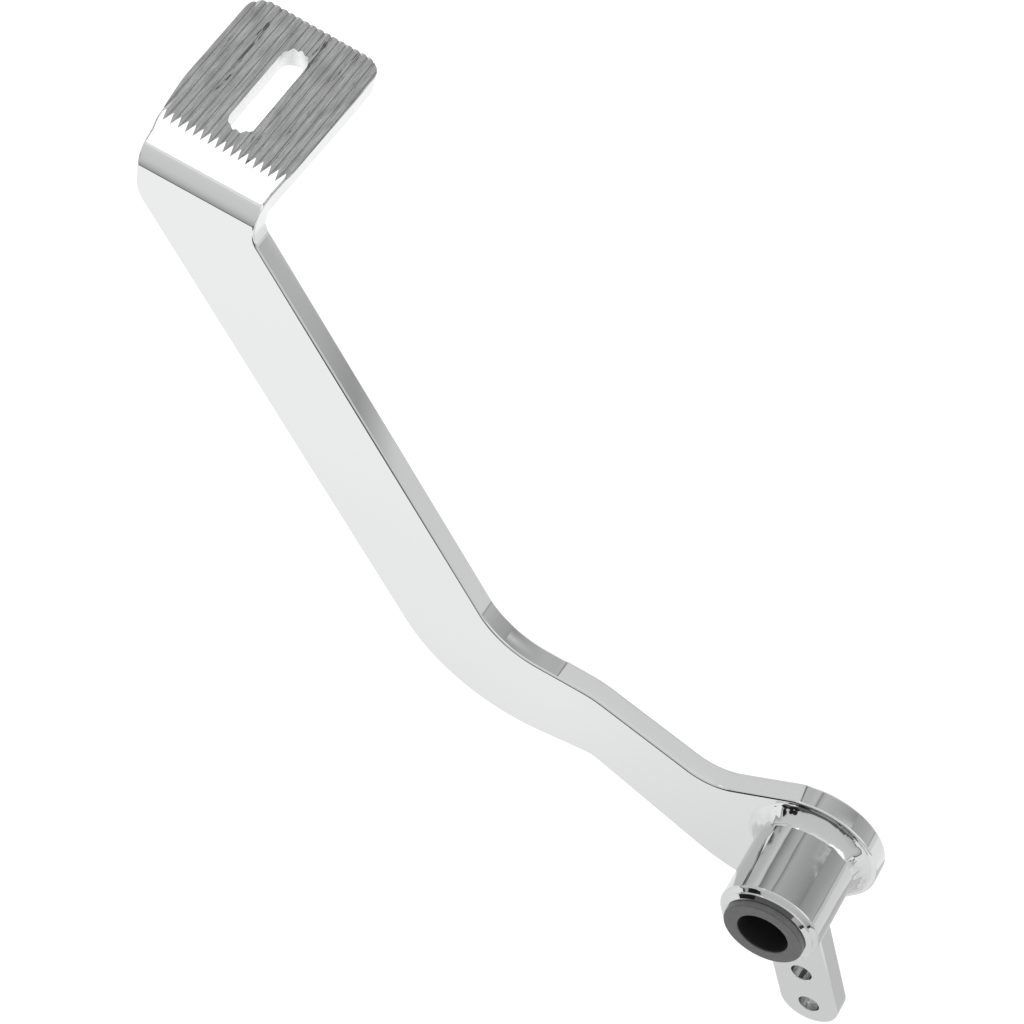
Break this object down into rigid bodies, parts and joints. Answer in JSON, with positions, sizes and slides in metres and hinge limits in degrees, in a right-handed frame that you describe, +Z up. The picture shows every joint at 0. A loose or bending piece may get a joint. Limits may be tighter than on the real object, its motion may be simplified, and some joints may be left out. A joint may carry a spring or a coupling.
{
  "type": "rear brake pedal",
  "caption": "Bright plated foot brake pedal: a bent flat arm with a welded, bushed pivot tube, a folded grooved foot pad with a slot, and a rod lug.",
  "frame": {"origin": "on the pivot axis, in the plane of the inboard face of the arm, where the pivot tube leaves the arm", "axes": "+X forward from the pivot towards the foot pad, +Y inboard along the pivot axis, +Z up, square to the tread face of the pad"},
  "size_m": [0.3403, 0.1238, 0.2813],
  "materials": {
    "plated_bar": "bright decorative plating over cut and folded flat steel bar",
    "plated_tube": "bright decorative plating over a turned steel tube",
    "plated_weld": "bright plating over a lightly rippled fillet weld",
    "dark_bush": "dark grey self-lubricating bush, satin"
  },
  "bodies": {
    "root": {"arm_plate": "plated_bar", "pivot_tube": "plated_tube", "weld_bead": "plated_weld", "inboard_bush": "dark_bush", "outboard_bush": "dark_bush"}
  },
  "joints": []
}
